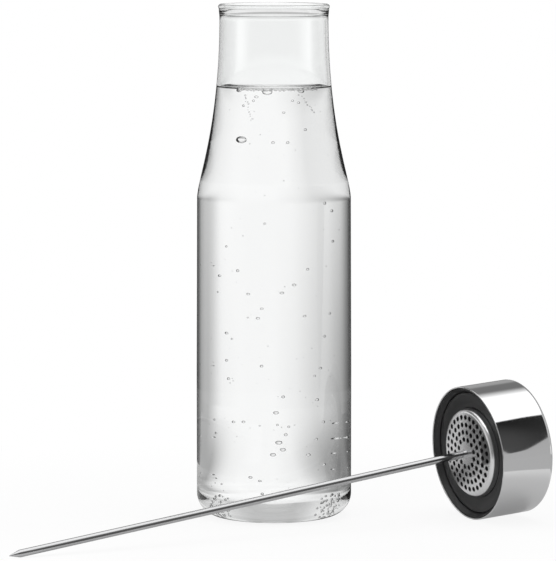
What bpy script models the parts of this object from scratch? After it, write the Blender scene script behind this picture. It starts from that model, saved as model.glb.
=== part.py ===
"""Tall glass fridge carafe for fruit water, with its pouring lid taken off and laid beside it.

The origin is the centre of the glass base, on the table, and +Z is up. The lid lies on the edge
of its rim and on the end of the long fruit skewer that hangs from its strainer. The lid's pieces
are children of lid_frame: its +Z points from the rim towards the closed end, and its +X points
down to the table. The skewer and its nut are children of skewer_frame, whose +Z is the skewer's
line: the lid sags a little where the skewer's thin thread goes through the strainer. The pour flap
hangs on flap_hinge.
"""

import math

import bmesh
import bpy
from mathutils import Matrix, Vector

# Glass vessel
BODY_RADIUS = 0.0425
BODY_STRAIGHT_HEIGHT = 0.0800
BODY_HEIGHT = 0.1745
SHOULDER_RADIUS = 0.0421
SHOULDER_LENGTH = 0.0995
SHOULDER_PULL = 0.0112
NECK_PULL = 0.0612
NECK_RADIUS = 0.0297
NECK_STRAIGHT_LENGTH = 0.0055
LIP_BEAD_RADIUS = 0.0015
LIP_PROUD = 0.0007
BASE_CORNER_RADIUS = 0.0124
INNER_CORNER_RADIUS = 0.0095
BODY_WALL = 0.0020
NECK_WALL = 0.0018
BASE_THICKNESS = 0.0030

# Running gap between pieces that touch
FIT_GAP = 0.0003

# Steel lid shell
LID_OVERHANG = 0.0063
LID_HEIGHT = 0.0324
LID_EDGE_RADIUS = 0.0022
SHELL_WALL = 0.0008
SHELL_RIM_CHAMFER = 0.0003

# Black collar inside the shell
COLLAR_SETBACK = 0.0004
COLLAR_WALL = 0.0015
COLLAR_LIP_WALL = 0.0005
COLLAR_FLARE = 0.0017
COLLAR_SKIRT_GAP = 0.0005
TUBE_WALL = 0.0020

# Lip seal, with the dished seat that the glass lip presses on
SEAL_FACE_DEPTH = 0.0034
SEAL_DISH_DEPTH = 0.0007
SEAL_DISH_HALF_WIDTH = 0.0040
SEAL_THICKNESS = 0.0030

# Strainer cup and its gasket
STRAINER_CLEARANCE = 0.0030
STRAINER_PROUD = 0.0005
STRAINER_HEIGHT = 0.0125
STRAINER_WALL = 0.0008
STRAINER_EDGE_RADIUS = 0.0018
STRAINER_HOLE_RADIUS = 0.00125
FIRST_HOLE_RING_RADIUS = 0.0078
HOLE_RING_STEP = 0.00395
HOLE_START_SHARE = 0.55
HOLE_SHIFT_SHARE = 0.20
HOLE_RINGS = 4
HOLES_IN_FIRST_RING = 12
HOLES_ADDED_PER_RING = 6
GASKET_CORD_RADIUS = 0.0009
GASKET_SETBACK = 0.0026

# Fruit skewer and the nut that holds it on the strainer
SKEWER_RADIUS = 0.0020
SKEWER_POINT_LENGTH = 0.0060
SKEWER_TIP_RADIUS = 0.00015
SKEWER_TIP_CLEARANCE = 0.0003
THREAD_RADIUS = 0.0015
THREAD_END_LENGTH = 0.0012
NUT_ACROSS_FLATS = 0.0070
NUT_THICKNESS = 0.0030
NUT_GAP = 0.0005

# Pour flap, its pin and its seat under the hole in the shell's closed end
PLATE_LAP = 0.0005
FLAP_SEAT_HEIGHT = 0.0069
FLAP_SEAT_WALL = 0.0036
FLANGE_WIDTH = 0.0030
FLANGE_THICKNESS = 0.0015
FLAP_CLEARANCE = 0.0019
FLAP_THICKNESS = 0.0010
FLAP_RECESS = 0.0011
FLAP_LAP_ON_LEDGE = 0.0009
LEDGE_THICKNESS = 0.0012
LEDGE_START_OFFSET = 0.0050
HINGE_OFFSET = 0.0060
PIN_RADIUS = 0.0010
PIN_END_RECESS = 0.0003
LUG_WEB = 0.0003
LUG_FOOT = 0.0007
LUG_THICKNESS = 0.0020
LUG_LENGTH = 0.0050
LUG_SPACING = 0.0300

# Where the lid lies beside the glass, and how far it sags at the skewer's thread
LID_PLACE_X = 0.1056
LID_PLACE_Y = -0.0196
LID_TURN = math.radians(29.2)
SKEWER_TURN = math.radians(26.8)
LID_SAG = math.radians(3.4)

# Shared overrun of every cut and overlap of every join
OVERRUN = 0.0010

# Facets, welding and shading
VESSEL_STEPS = 48
LID_STEPS = 48
SKEWER_STEPS = 24
HOLE_SIDES = 6
CORD_SIDES = 8
BORE_SIDES = 16
MERGE_DISTANCE = 0.00001
SHARP_ANGLE = math.radians(30)

# Colour, metallic and roughness of each material
GLASS_TINT = (0.98, 0.99, 0.99, 1)
GLASS_ROUGHNESS = 0.0
GLASS_IOR = 1.47
STEEL_COLOUR = (0.75, 0.75, 0.76, 1)
STEEL_ROUGHNESS = 0.10
PLASTIC_COLOUR = (0.045, 0.045, 0.048, 1)
PLASTIC_ROUGHNESS = 0.45
SILICONE_COLOUR = (0.055, 0.055, 0.058, 1)
SILICONE_ROUGHNESS = 0.60

# Heights and radii that follow from the sizes above
LIP_BEAD_HEIGHT = BODY_HEIGHT + SHOULDER_LENGTH + NECK_STRAIGHT_LENGTH
LIP_TOP = LIP_BEAD_HEIGHT + LIP_BEAD_RADIUS
LIP_CENTRE_RADIUS = NECK_RADIUS + LIP_PROUD - LIP_BEAD_RADIUS
LIP_BORE_RADIUS = LIP_CENTRE_RADIUS - LIP_BEAD_RADIUS
LID_RADIUS = NECK_RADIUS + LIP_PROUD + LID_OVERHANG
SHELL_BORE_RADIUS = LID_RADIUS - SHELL_WALL
PLATE_UNDERSIDE = LID_HEIGHT - SHELL_WALL
SEAT_DEPTH = SEAL_FACE_DEPTH + SEAL_DISH_DEPTH
SEAL_BACK = SEAL_FACE_DEPTH + SEAL_THICKNESS
STRAINER_RADIUS = LIP_BORE_RADIUS - STRAINER_CLEARANCE
STRAINER_BORE_RADIUS = STRAINER_RADIUS - STRAINER_WALL
STRAINER_INSIDE = STRAINER_WALL - STRAINER_PROUD
STRAINER_TOP = STRAINER_HEIGHT - STRAINER_PROUD
SKEWER_JOINT_HEIGHT = STRAINER_INSIDE - STRAINER_WALL / 2
TUBE_BORE_RADIUS = STRAINER_BORE_RADIUS - FIT_GAP
GASKET_HEIGHT = STRAINER_TOP - GASKET_SETBACK
GASKET_RADIUS = STRAINER_RADIUS + FIT_GAP + GASKET_CORD_RADIUS
RECESS_RADIUS = SHELL_BORE_RADIUS - FIT_GAP - COLLAR_LIP_WALL - COLLAR_FLARE
SKEWER_LENGTH = LIP_TOP - SEAT_DEPTH - BASE_THICKNESS - SKEWER_TIP_CLEARANCE
NUT_TOP = STRAINER_INSIDE + NUT_GAP + NUT_THICKNESS
FLAP_SEAT_TOP = PLATE_UNDERSIDE - FIT_GAP
FLAP_SEAT_BASE = FLAP_SEAT_TOP - FLAP_SEAT_HEIGHT
FLAP_SEAT_RADIUS = TUBE_BORE_RADIUS + FLAP_SEAT_WALL
FLAP_RADIUS = TUBE_BORE_RADIUS - FLAP_CLEARANCE
FLAP_UNDERSIDE = PLATE_UNDERSIDE - FLAP_RECESS - FLAP_THICKNESS
PIN_DROP = LUG_WEB + FIT_GAP + PIN_RADIUS
PIN_HEIGHT = FLAP_UNDERSIDE - PIN_DROP
PIN_BORE_RADIUS = PIN_RADIUS + FIT_GAP

# How steeply the skewer and the lid lie: the lid sags about the strainer's middle, its rim's edge
# touches the table, and so does the skewer where its point begins
JOINT_RISE = LID_RADIUS * math.cos(LID_SAG) - SKEWER_JOINT_HEIGHT * math.sin(LID_SAG)
JOINT_BACK = LID_RADIUS * math.sin(LID_SAG) + SKEWER_JOINT_HEIGHT * math.cos(LID_SAG)
SAG_RISE = JOINT_RISE - SKEWER_RADIUS
SAG_REACH = SKEWER_JOINT_HEIGHT + SKEWER_LENGTH - SKEWER_POINT_LENGTH - JOINT_BACK
SKEWER_TILT = math.atan(SAG_RISE / SAG_REACH)
LID_TILT = SKEWER_TILT - LID_SAG


def clear_scene():
    for old in list(bpy.data.objects):
        bpy.data.objects.remove(old, do_unlink=True)


def new_collection(name):
    collection = bpy.data.collections.new(name)
    bpy.context.scene.collection.children.link(collection)
    return collection


def new_empty(name, location, rotation, collection, parent=None):
    empty = bpy.data.objects.new(name, None)
    empty.location = location
    empty.rotation_euler = rotation
    empty.parent = parent
    collection.objects.link(empty)
    return empty


def principled(name):
    material = bpy.data.materials.new(name)
    material.use_nodes = True
    return material, material.node_tree.nodes["Principled BSDF"].inputs


def glass_material():
    material, inputs = principled("clear_glass")
    inputs["Base Color"].default_value = GLASS_TINT
    inputs["Transmission Weight"].default_value = 1.0
    inputs["Roughness"].default_value = GLASS_ROUGHNESS
    inputs["IOR"].default_value = GLASS_IOR
    return material


def steel_material():
    material, inputs = principled("polished_steel")
    inputs["Base Color"].default_value = STEEL_COLOUR
    inputs["Metallic"].default_value = 1.0
    inputs["Roughness"].default_value = STEEL_ROUGHNESS
    return material


def plastic_material():
    material, inputs = principled("black_plastic")
    inputs["Base Color"].default_value = PLASTIC_COLOUR
    inputs["Roughness"].default_value = PLASTIC_ROUGHNESS
    return material


def silicone_material():
    material, inputs = principled("black_silicone")
    inputs["Base Color"].default_value = SILICONE_COLOUR
    inputs["Roughness"].default_value = SILICONE_ROUGHNESS
    return material


def arc(centre_radius, centre_height, radius, start, end, count):
    """Points of a circular arc in (radius, height), by angle in degrees from straight outward."""
    points = []
    for index in range(count + 1):
        angle = math.radians(start + (end - start) * index / count)
        across = centre_radius + radius * math.cos(angle)
        points.append((across, centre_height + radius * math.sin(angle)))
    return points


def shoulder_line(wall_at_body, wall_at_neck, count):
    """The S-curve from the body up to the straight neck, moved in by the wall there."""
    low = Vector((SHOULDER_RADIUS - wall_at_body, BODY_HEIGHT))
    high = Vector((NECK_RADIUS - wall_at_neck, BODY_HEIGHT + SHOULDER_LENGTH))
    low_handle = low + Vector((0, SHOULDER_PULL))
    high_handle = high - Vector((0, NECK_PULL))
    points = []
    for index in range(count + 1):
        t = index / count
        s = 1 - t
        point = s**3 * low + 3 * s * s * t * low_handle + 3 * s * t * t * high_handle + t**3 * high
        points.append((point.x, point.y))
    return points


def turned(name, outline, steps, collection, closed=True):
    """Turns an outline in (radius, height) about Z. It runs down its outer side."""
    shape = bmesh.new()
    corners = [shape.verts.new((radius, 0, height)) for radius, height in outline]
    for first, second in zip(corners, corners[1:]):
        shape.edges.new((first, second))
    if closed:
        shape.edges.new((corners[-1], corners[0]))
    piece = mesh_object(name, shape, collection)
    screw = piece.modifiers.new("Turn", "SCREW")
    screw.axis = "Z"
    screw.steps = steps
    screw.render_steps = steps
    screw.use_merge_vertices = True
    screw.merge_threshold = MERGE_DISTANCE
    return piece


def mesh_object(name, shape, collection):
    mesh = bpy.data.meshes.new(name)
    shape.to_mesh(mesh)
    shape.free()
    piece = bpy.data.objects.new(name, mesh)
    collection.objects.link(piece)
    return piece


def add_rod(shape, radius, length, centre, sides, turn=None):
    """A plain cylinder along Z, or along the line that turn gives."""
    place = Matrix.Translation(centre) @ (turn or Matrix.Identity(4))
    bmesh.ops.create_cone(
        shape, cap_ends=True, segments=sides, radius1=radius, radius2=radius, depth=length, matrix=place
    )


def add_box(shape, size, centre):
    place = Matrix.Translation(centre) @ Matrix.Diagonal((*size, 1))
    bmesh.ops.create_cube(shape, size=1, matrix=place)


def as_cutter(cutter, parent):
    cutter.parent = parent
    cutter.hide_render = True
    cutter.display_type = "WIRE"
    return cutter


def add_boolean(piece, other, operation):
    boolean = piece.modifiers.new(operation.title(), "BOOLEAN")
    boolean.operation = operation
    boolean.solver = "EXACT"
    boolean.object = other


def finish(piece, material, parent=None):
    """Applies the piece's modifiers, shades its round faces smooth and gives it its material."""
    piece.parent = parent
    bpy.context.view_layer.update()
    graph = bpy.context.evaluated_depsgraph_get()
    mesh = bpy.data.meshes.new_from_object(piece.evaluated_get(graph))
    piece.modifiers.clear()
    piece.data = mesh
    mesh.shade_smooth()
    mesh.set_sharp_from_angle(angle=SHARP_ANGLE)
    mesh.materials.clear()
    mesh.materials.append(material)
    return piece


def glass_inner_side():
    """From the middle of the glass floor out and up to the straight neck."""
    bore = BODY_RADIUS - BODY_WALL
    corner_height = BASE_THICKNESS + INNER_CORNER_RADIUS
    points = [(0, BASE_THICKNESS)]
    points += arc(bore - INNER_CORNER_RADIUS, corner_height, INNER_CORNER_RADIUS, -90, 0, 6)
    points.append((bore, BODY_STRAIGHT_HEIGHT))
    points += shoulder_line(BODY_WALL, NECK_WALL, 10)
    return points


def glass_outer_side():
    """From the straight neck down to the middle of the base."""
    points = shoulder_line(0, 0, 12)[::-1]
    points.append((BODY_RADIUS, BODY_STRAIGHT_HEIGHT))
    corner = BODY_RADIUS - BASE_CORNER_RADIUS
    points += arc(corner, BASE_CORNER_RADIUS, BASE_CORNER_RADIUS, 0, -90, 8)
    points.append((0, 0))
    return points


def make_carafe_glass(collection, material):
    """One blown vessel: flat base, straight body, drawn-in neck and a fire-polished bead lip."""
    bead = arc(LIP_CENTRE_RADIUS, LIP_BEAD_HEIGHT, LIP_BEAD_RADIUS, 200, -40, 10)
    outline = glass_inner_side() + bead + glass_outer_side()
    piece = turned("carafe_glass", outline, VESSEL_STEPS, collection, closed=False)
    return finish(piece, material)


def make_lid_shell(collection, lid_frame, material):
    """The drawn steel cap: a thin wall, a rounded edge and a closed end with the pour hole."""
    hole = TUBE_BORE_RADIUS - PLATE_LAP
    edge_radius = LID_RADIUS - LID_EDGE_RADIUS
    edge_height = LID_HEIGHT - LID_EDGE_RADIUS
    outline = [(hole, LID_HEIGHT)]
    outline += arc(edge_radius, edge_height, LID_EDGE_RADIUS, 90, 0, 5)
    outline.append((LID_RADIUS, SHELL_RIM_CHAMFER))
    outline.append((LID_RADIUS - SHELL_RIM_CHAMFER, 0))
    outline.append((SHELL_BORE_RADIUS, 0))
    outline += arc(edge_radius, edge_height, LID_EDGE_RADIUS - SHELL_WALL, 0, 90, 5)
    outline.append((hole, PLATE_UNDERSIDE))
    piece = turned("lid_shell", outline, LID_STEPS, collection)
    return finish(piece, material, lid_frame)


def make_lid_collar(collection, lid_frame, material):
    """The moulded core: recess for the glass neck, groove for the gasket and pouring tube."""
    skirt_radius = SHELL_BORE_RADIUS - FIT_GAP
    skirt_top = LID_HEIGHT - LID_EDGE_RADIUS - COLLAR_SKIRT_GAP
    recess_floor = SEAL_BACK + FIT_GAP
    web_top = recess_floor + COLLAR_WALL
    strainer_hole = STRAINER_RADIUS + FIT_GAP
    groove_half = GASKET_CORD_RADIUS + FIT_GAP
    groove_radius = GASKET_RADIUS + groove_half
    hub_radius = groove_radius + COLLAR_WALL
    step_height = STRAINER_TOP + FIT_GAP
    hub_top = step_height + COLLAR_WALL
    tube_radius = TUBE_BORE_RADIUS + TUBE_WALL
    tube_top = FLAP_SEAT_BASE - FIT_GAP
    outline = [
        (skirt_radius, skirt_top),
        (skirt_radius, COLLAR_SETBACK),
        (RECESS_RADIUS + COLLAR_FLARE, COLLAR_SETBACK),
        (RECESS_RADIUS, SEAL_FACE_DEPTH),
        (RECESS_RADIUS, recess_floor),
        (strainer_hole, recess_floor),
        (strainer_hole, GASKET_HEIGHT - groove_half),
        (groove_radius, GASKET_HEIGHT - groove_half),
        (groove_radius, GASKET_HEIGHT + groove_half),
        (strainer_hole, GASKET_HEIGHT + groove_half),
        (strainer_hole, step_height),
        (TUBE_BORE_RADIUS, step_height),
        (TUBE_BORE_RADIUS, tube_top),
        (tube_radius, tube_top),
        (tube_radius, hub_top),
        (hub_radius, hub_top),
        (hub_radius, web_top),
        (skirt_radius - COLLAR_WALL, web_top),
        (skirt_radius - COLLAR_WALL, skirt_top),
    ]
    piece = turned("lid_collar", outline, LID_STEPS, collection)
    return finish(piece, material, lid_frame)


def seal_face():
    """The seal's face from its outer edge to its bore, dished where the glass lip sits."""
    outer = RECESS_RADIUS - FIT_GAP
    bore = STRAINER_RADIUS + FIT_GAP
    points = [(outer, SEAL_FACE_DEPTH)]
    count = 6
    for index in range(count + 1):
        share = 1 - 2 * index / count
        radius = LIP_CENTRE_RADIUS + share * SEAL_DISH_HALF_WIDTH
        depth = SEAL_DISH_DEPTH * (1 + math.cos(math.pi * share)) / 2
        points.append((radius, SEAL_FACE_DEPTH + depth))
    points.append((bore, SEAL_FACE_DEPTH))
    return outer, bore, points


def make_lip_seal(collection, lid_frame, material):
    """The soft ring in the floor of the recess that the glass lip presses on."""
    outer, bore, face = seal_face()
    outline = [(outer, SEAL_BACK)] + face + [(bore, SEAL_BACK)]
    piece = turned("lip_seal", outline, LID_STEPS, collection)
    return finish(piece, material, lid_frame)


def hole_cutters(cutters, lid_frame):
    """One rod for each hole of the strainer, in rings round the skewer."""
    shape = bmesh.new()
    length = STRAINER_WALL + OVERRUN + OVERRUN
    for ring in range(HOLE_RINGS):
        radius = FIRST_HOLE_RING_RADIUS + ring * HOLE_RING_STEP
        holes = HOLES_IN_FIRST_RING + ring * HOLES_ADDED_PER_RING
        start = HOLE_START_SHARE - ring * HOLE_SHIFT_SHARE
        for index in range(holes):
            angle = math.tau * (index + start) / holes
            centre = Vector((radius * math.cos(angle), radius * math.sin(angle), SKEWER_JOINT_HEIGHT))
            add_rod(shape, STRAINER_HOLE_RADIUS, length, centre, HOLE_SIDES)
    return as_cutter(mesh_object("strainer_hole_cutters", shape, cutters), lid_frame)


def make_strainer_cup(collection, cutters, lid_frame, material):
    """The perforated steel cup that keeps the fruit back, with the skewer's hole in its middle."""
    skewer_hole = THREAD_RADIUS + FIT_GAP
    edge = STRAINER_RADIUS - STRAINER_EDGE_RADIUS
    edge_height = STRAINER_EDGE_RADIUS - STRAINER_PROUD
    inner_edge = STRAINER_EDGE_RADIUS - STRAINER_WALL
    outline = [(STRAINER_RADIUS, STRAINER_TOP)]
    outline += arc(edge, edge_height, STRAINER_EDGE_RADIUS, 0, -90, 5)
    outline.append((skewer_hole, -STRAINER_PROUD))
    outline.append((skewer_hole, STRAINER_INSIDE))
    outline += arc(edge, edge_height, inner_edge, -90, 0, 5)
    outline.append((STRAINER_BORE_RADIUS, STRAINER_TOP))
    piece = turned("strainer_cup", outline, LID_STEPS, collection)
    piece.parent = lid_frame
    add_boolean(piece, hole_cutters(cutters, lid_frame), "DIFFERENCE")
    return finish(piece, material, lid_frame)


def make_strainer_gasket(collection, lid_frame, material):
    """The ring in the collar's groove that grips the strainer cup."""
    bpy.ops.mesh.primitive_torus_add(
        major_radius=GASKET_RADIUS,
        minor_radius=GASKET_CORD_RADIUS,
        major_segments=LID_STEPS,
        minor_segments=CORD_SIDES,
        location=(0, 0, GASKET_HEIGHT),
    )
    piece = bpy.context.object
    piece.name = "strainer_gasket"
    for holder in list(piece.users_collection):
        holder.objects.unlink(piece)
    collection.objects.link(piece)
    return finish(piece, material, lid_frame)


def make_skewer(collection, skewer_frame, material):
    """The long rod for fruit: threaded at the strainer, pointed at its free end."""
    shoulder = -STRAINER_PROUD - FIT_GAP
    outline = [
        (0, NUT_TOP + THREAD_END_LENGTH),
        (THREAD_RADIUS, NUT_TOP + THREAD_END_LENGTH),
        (THREAD_RADIUS, shoulder),
        (SKEWER_RADIUS, shoulder),
        (SKEWER_RADIUS, SKEWER_POINT_LENGTH - SKEWER_LENGTH),
        (SKEWER_TIP_RADIUS, -SKEWER_LENGTH),
        (0, -SKEWER_LENGTH),
    ]
    piece = turned("skewer", outline, SKEWER_STEPS, collection, closed=False)
    return finish(piece, material, skewer_frame)


def make_skewer_nut(collection, cutters, skewer_frame, material):
    """The hexagon nut inside the strainer cup that holds the skewer."""
    centre = Vector((0, 0, NUT_TOP - NUT_THICKNESS / 2))
    corner_radius = NUT_ACROSS_FLATS / 2 / math.cos(math.pi / 6)
    shape = bmesh.new()
    add_rod(shape, corner_radius, NUT_THICKNESS, centre, 6)
    piece = mesh_object("skewer_nut", shape, collection)
    bore = bmesh.new()
    add_rod(bore, THREAD_RADIUS + FIT_GAP, NUT_THICKNESS + OVERRUN, centre, BORE_SIDES)
    piece.parent = skewer_frame
    add_boolean(piece, as_cutter(mesh_object("nut_bore_cutter", bore, cutters), skewer_frame), "DIFFERENCE")
    return finish(piece, material, skewer_frame)


def ledge_ring(cutters, lid_frame):
    """The half ring that the flap's long side rests on, joined to the seat ring's wall."""
    top = FLAP_UNDERSIDE - FIT_GAP
    bottom = top - LEDGE_THICKNESS
    inner = FLAP_RADIUS - FLAP_LAP_ON_LEDGE
    outer = TUBE_BORE_RADIUS + OVERRUN
    outline = [(outer, top), (outer, bottom), (inner, bottom), (inner, top)]
    ring = as_cutter(turned("ledge_ring", outline, LID_STEPS, cutters), lid_frame)
    reach = outer + OVERRUN
    start = LEDGE_START_OFFSET - HINGE_OFFSET
    size = Vector((reach + start, 2 * reach, LEDGE_THICKNESS + OVERRUN))
    centre = Vector((start - size.x / 2, 0, (top + bottom) / 2))
    shape = bmesh.new()
    add_box(shape, size, centre)
    add_boolean(ring, as_cutter(mesh_object("ledge_cutter", shape, cutters), lid_frame), "DIFFERENCE")
    return ring


def pin_bore_cutter(name, cutters, parent, centre):
    """A rod along Y, longer than the seat ring is wide."""
    length = 2 * (FLAP_SEAT_RADIUS + OVERRUN)
    shape = bmesh.new()
    add_rod(shape, PIN_BORE_RADIUS, length, centre, BORE_SIDES, Matrix.Rotation(math.pi / 2, 4, "X"))
    return as_cutter(mesh_object(name, shape, cutters), parent)


def make_flap_seat(collection, cutters, lid_frame, material):
    """The flanged ring under the pour hole that carries the flap's pin and its stop ledge."""
    flange_radius = FLAP_SEAT_RADIUS + FLANGE_WIDTH
    flange_base = FLAP_SEAT_TOP - FLANGE_THICKNESS
    outline = [
        (TUBE_BORE_RADIUS, FLAP_SEAT_TOP),
        (flange_radius, FLAP_SEAT_TOP),
        (flange_radius, flange_base),
        (FLAP_SEAT_RADIUS, flange_base),
        (FLAP_SEAT_RADIUS, FLAP_SEAT_BASE),
        (TUBE_BORE_RADIUS, FLAP_SEAT_BASE),
    ]
    piece = turned("flap_seat", outline, LID_STEPS, collection)
    piece.parent = lid_frame
    add_boolean(piece, ledge_ring(cutters, lid_frame), "UNION")
    centre = Vector((-HINGE_OFFSET, 0, PIN_HEIGHT))
    add_boolean(piece, pin_bore_cutter("seat_pin_cutter", cutters, lid_frame, centre), "DIFFERENCE")
    return finish(piece, material, lid_frame)


def lug_block(name, side, cutters, flap_hinge):
    """One of the two ears under the flap, on the +Y or the -Y side."""
    top = PIN_DROP + FLAP_THICKNESS / 2
    bottom = -PIN_BORE_RADIUS - LUG_FOOT
    size = Vector((LUG_LENGTH, LUG_THICKNESS, top - bottom))
    centre = Vector((0, side * LUG_SPACING / 2, (top + bottom) / 2))
    shape = bmesh.new()
    add_box(shape, size, centre)
    return as_cutter(mesh_object(name, shape, cutters), flap_hinge)


def make_pour_flap(collection, cutters, flap_hinge, material):
    """The steel disc that closes the pour hole and tips open as the carafe is tilted."""
    shape = bmesh.new()
    centre = Vector((HINGE_OFFSET, 0, PIN_DROP + FLAP_THICKNESS / 2))
    add_rod(shape, FLAP_RADIUS, FLAP_THICKNESS, centre, LID_STEPS)
    piece = mesh_object("pour_flap", shape, collection)
    piece.parent = flap_hinge
    add_boolean(piece, lug_block("left_lug", -1, cutters, flap_hinge), "UNION")
    add_boolean(piece, lug_block("right_lug", 1, cutters, flap_hinge), "UNION")
    bore = pin_bore_cutter("lug_bore_cutter", cutters, flap_hinge, Vector((0, 0, 0)))
    add_boolean(piece, bore, "DIFFERENCE")
    return finish(piece, material, flap_hinge)


def make_flap_pin(collection, flap_hinge, material):
    """The steel pin through both lugs, ending inside the seat ring's wall."""
    half_length = math.sqrt(FLAP_SEAT_RADIUS**2 - HINGE_OFFSET**2) - PIN_END_RECESS
    shape = bmesh.new()
    along_y = Matrix.Rotation(math.pi / 2, 4, "X")
    add_rod(shape, PIN_RADIUS, 2 * half_length, Vector((0, 0, 0)), BORE_SIDES, along_y)
    piece = mesh_object("flap_pin", shape, collection)
    return finish(piece, material, flap_hinge)


def lie_down(tilt, turn):
    """The rotation that lays a piece's +Z along the table, rising by tilt."""
    return (0, math.pi / 2 - tilt, turn)


def along(tilt, turn, length):
    """The step of that length along a piece laid down so."""
    across = length * math.cos(tilt)
    return Vector((across * math.cos(turn), across * math.sin(turn), length * math.sin(tilt)))


def make_carafe():
    clear_scene()
    parts = new_collection("fridge_carafe")
    cutters = new_collection("fridge_carafe_cutters")
    rim_height = LID_RADIUS * math.cos(LID_TILT)
    rim_place = Vector((LID_PLACE_X, LID_PLACE_Y, rim_height))
    joint_place = rim_place + along(LID_TILT, LID_TURN, SKEWER_JOINT_HEIGHT)
    skewer_place = joint_place - along(SKEWER_TILT, SKEWER_TURN, SKEWER_JOINT_HEIGHT)
    lid_frame = new_empty("lid_frame", rim_place, lie_down(LID_TILT, LID_TURN), parts)
    skewer_frame = new_empty("skewer_frame", skewer_place, lie_down(SKEWER_TILT, SKEWER_TURN), parts)
    hinge_place = (-HINGE_OFFSET, 0, PIN_HEIGHT)
    flap_hinge = new_empty("flap_hinge", hinge_place, (0, 0, 0), parts, lid_frame)
    glass = glass_material()
    steel = steel_material()
    plastic = plastic_material()
    silicone = silicone_material()
    make_carafe_glass(parts, glass)
    make_lid_shell(parts, lid_frame, steel)
    make_lid_collar(parts, lid_frame, plastic)
    make_lip_seal(parts, lid_frame, silicone)
    make_strainer_cup(parts, cutters, lid_frame, steel)
    make_strainer_gasket(parts, lid_frame, silicone)
    make_skewer(parts, skewer_frame, steel)
    make_skewer_nut(parts, cutters, skewer_frame, steel)
    make_flap_seat(parts, cutters, lid_frame, plastic)
    make_pour_flap(parts, cutters, flap_hinge, steel)
    make_flap_pin(parts, flap_hinge, steel)


make_carafe()
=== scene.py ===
import math
import random

import bmesh
import bpy
from mathutils import Matrix, Vector


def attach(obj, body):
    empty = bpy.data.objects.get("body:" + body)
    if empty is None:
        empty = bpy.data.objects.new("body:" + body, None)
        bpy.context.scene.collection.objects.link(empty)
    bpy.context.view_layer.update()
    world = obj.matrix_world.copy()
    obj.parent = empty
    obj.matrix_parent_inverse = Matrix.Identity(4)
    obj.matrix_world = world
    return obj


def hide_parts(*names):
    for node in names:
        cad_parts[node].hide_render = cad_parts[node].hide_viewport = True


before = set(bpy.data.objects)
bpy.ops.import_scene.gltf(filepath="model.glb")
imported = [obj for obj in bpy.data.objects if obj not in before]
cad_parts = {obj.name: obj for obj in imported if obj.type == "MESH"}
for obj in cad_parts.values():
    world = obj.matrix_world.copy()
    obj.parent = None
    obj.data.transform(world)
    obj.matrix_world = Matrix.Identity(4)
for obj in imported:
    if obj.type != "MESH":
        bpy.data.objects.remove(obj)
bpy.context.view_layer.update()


# The view
# A long lens, a little over two metres in front of the carafe and a hand's width above its lip,
# looks down by about six degrees, as in the photograph.
PHOTO_WIDTH = 556
FOCAL_PIXELS = 3940
SENSOR_WIDTH = 36
FARTHEST_SEEN = 50
CAMERA_PLACE = (0.002215, -2.150, 0.351)
CAMERA_PITCH = math.radians(5.882)

bpy.context.scene.view_settings.view_transform = "Standard"
lens = bpy.data.cameras.new("photo_camera")
lens.sensor_fit = "HORIZONTAL"
lens.sensor_width = SENSOR_WIDTH
lens.lens = FOCAL_PIXELS * SENSOR_WIDTH / PHOTO_WIDTH
lens.clip_end = FARTHEST_SEEN
camera = bpy.data.objects.new("photo_camera", lens)
camera.location = CAMERA_PLACE
camera.rotation_euler = (math.pi / 2 - CAMERA_PITCH, 0, 0)
bpy.context.scene.collection.objects.link(camera)
bpy.context.scene.camera = camera


# The sweep
# White paper round the table, a white cloth overhead and dark cloths at the sides. A row of tones
# goes by degrees from straight behind the carafe, an edge by height from 0 level to 1 overhead. In
# SWEEP_HIGH and SWEEP_LOW, a program solved most tones up to 60 degrees from photographed greys.
SWEEP_HIGH = (
    (-180, 0.18), (-125, 0.18), (-105, 0.95), (-92, 0.95), (-84, 0.04), (-58, 0.02), (-49, 0.33),
    (-42, 0.50), (-36, 0.71), (-24, 0.82), (-19, 0.79), (-12, 0.91), (-6, 1.0), (19, 1.0),
    (24, 0.96), (31, 0.70), (36, 0.62), (49, 0.56), (58, 0.18), (84, 0.04), (92, 0.95),
    (105, 0.95), (125, 0.18), (179, 0.18),
)
SWEEP_LOW = (
    (-180, 0.18), (-125, 0.18), (-105, 0.95), (-92, 0.95), (-84, 0.04), (-56, 0.08), (-42, 0.25),
    (-35, 0.40), (-23, 0.60), (-15, 0.72), (-8, 0.90), (0, 1.0), (13, 1.0), (23, 0.89),
    (30, 0.63), (35, 0.48), (47, 0.45), (58, 0.10), (84, 0.04), (92, 0.95), (105, 0.95),
    (125, 0.18), (179, 0.18),
)
SWEEP_BELOW = (
    (-180, 0.70), (-125, 0.70), (-95, 1.0), (-72, 0.80), (-45, 0.80), (-33, 0.86), (-14, 0.82),
    (-5, 1.0), (15, 1.0), (30, 0.93), (45, 0.76), (60, 0.60), (80, 0.66), (95, 0.95),
    (125, 0.70), (179, 0.70),
)
SWEEP_HIGH_EDGE = (-0.135, -0.080)
SWEEP_BELOW_EDGE = (-0.130, -0.180)
GREY_BAND = ((-180, 0.82), (-19, 0.82), (-8, 0.52), (8, 0.52), (19, 0.72), (179, 0.82))
BANDS_ABOVE = (
    ((0.03, 0.09), 0.90), ((0.120, 0.140), GREY_BAND), ((0.182, 0.200), 0.88),
    ((0.32, 0.35), 0.03), ((0.60, 0.70), 0.95),
)
MIRRORED_LOW = (
    (-180, 0.18), (-140, 0.25), (-122, 0.60), (-104, 1.15), (-92, 1.15), (-78, 0.65),
    (-56, 0.65), (-44, 0.20), (-30, 0.05), (30, 0.05), (44, 0.20), (56, 0.65), (78, 0.65),
    (92, 1.15), (103, 1.15), (110, 0.52), (126, 0.50), (140, 0.25), (179, 0.18),
)
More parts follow.
